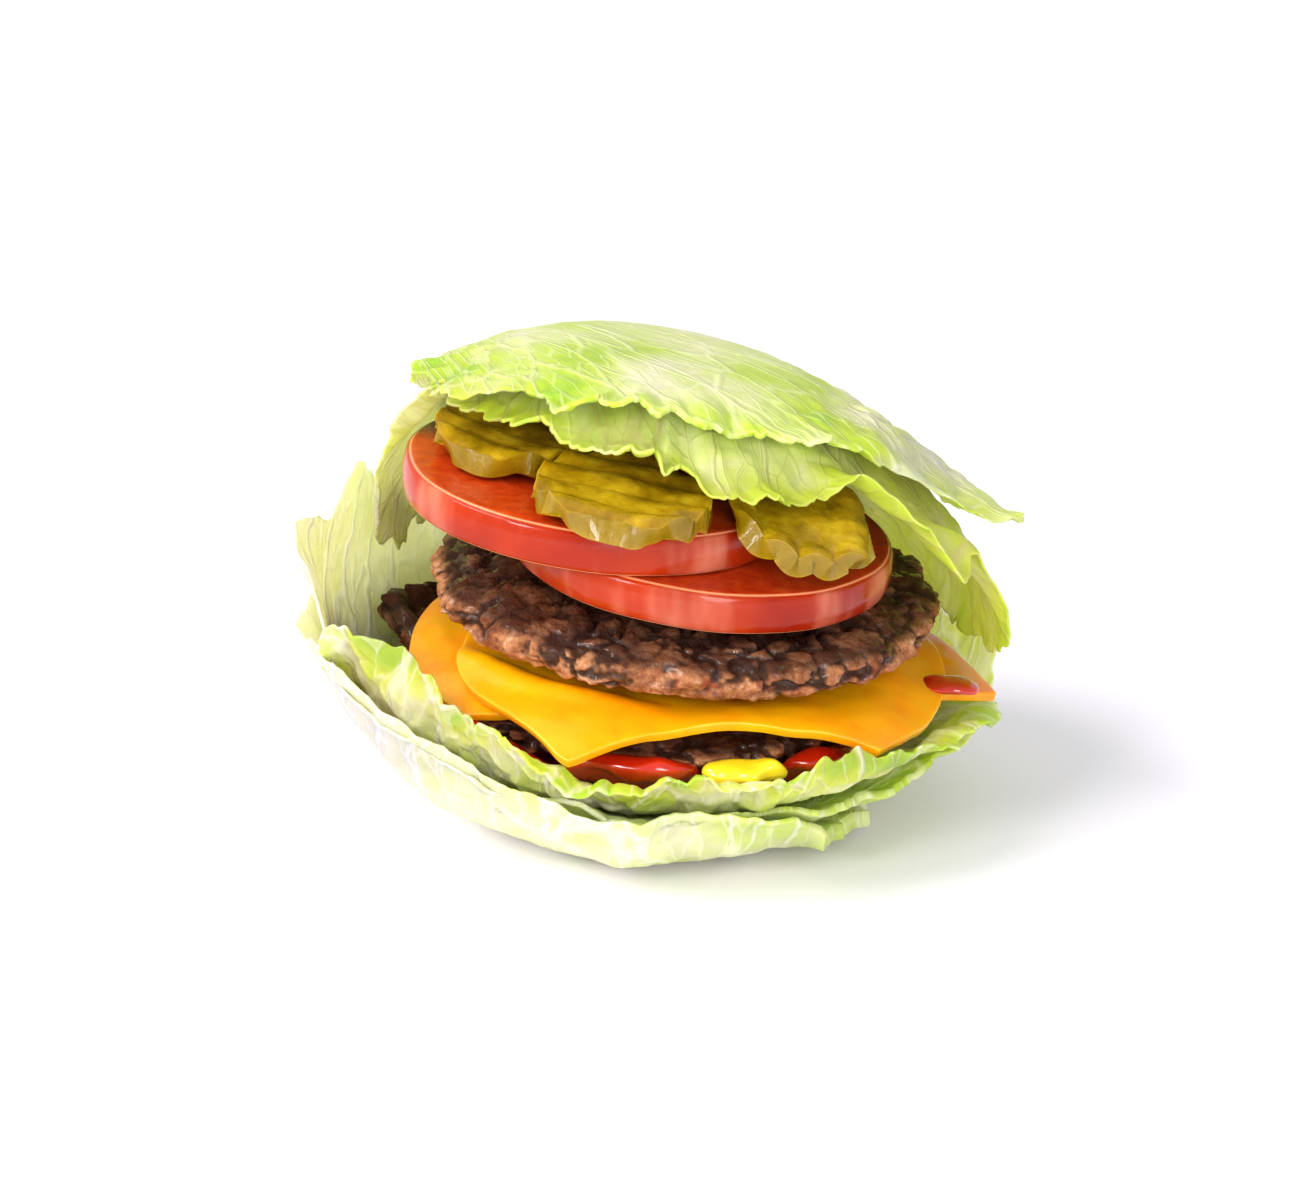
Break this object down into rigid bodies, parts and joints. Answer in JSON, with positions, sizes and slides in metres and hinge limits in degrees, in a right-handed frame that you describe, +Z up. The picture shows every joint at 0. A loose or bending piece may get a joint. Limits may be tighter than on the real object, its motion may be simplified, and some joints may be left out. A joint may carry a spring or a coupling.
{
  "type": "lettuce-wrapped double cheeseburger",
  "caption": "Cheeseburger wrapped in nested iceberg lettuce leaves in place of a bun, open at the front to show patties, cheese, tomato and pickle.",
  "frame": {"origin": "on the table, under the middle of the whole", "axes": "+X to the right of the open side, +Y away from it, +Z up"},
  "size_m": [0.1593, 0.1424, 0.1078],
  "materials": {
    "lettuce": "crisp, pale, slightly translucent leaf",
    "beef": "seared mince, moist on the rim",
    "cheese": "soft melted slice, satin",
    "tomato": "wet skin",
    "pickle": "wet, crinkle-cut",
    "ketchup": "thick wet sauce",
    "mustard": "thick wet sauce"
  },
  "bodies": {
    "root": {"lettuce_bowl_outer": "lettuce", "lettuce_bowl_middle": "lettuce", "lettuce_bowl_inner": "lettuce", "ketchup": "ketchup", "mustard": "mustard", "patty_lower": "beef", "patty_upper": "beef", "cheese_lower": "cheese", "cheese_upper": "cheese", "tomato_lower": "tomato", "tomato_upper": "tomato", "pickle_middle": "pickle", "pickle_left": "pickle", "pickle_right": "pickle", "pickle_back": "pickle", "lettuce_lid_outer": "lettuce", "lettuce_lid_inner": "lettuce"}
  },
  "joints": []
}
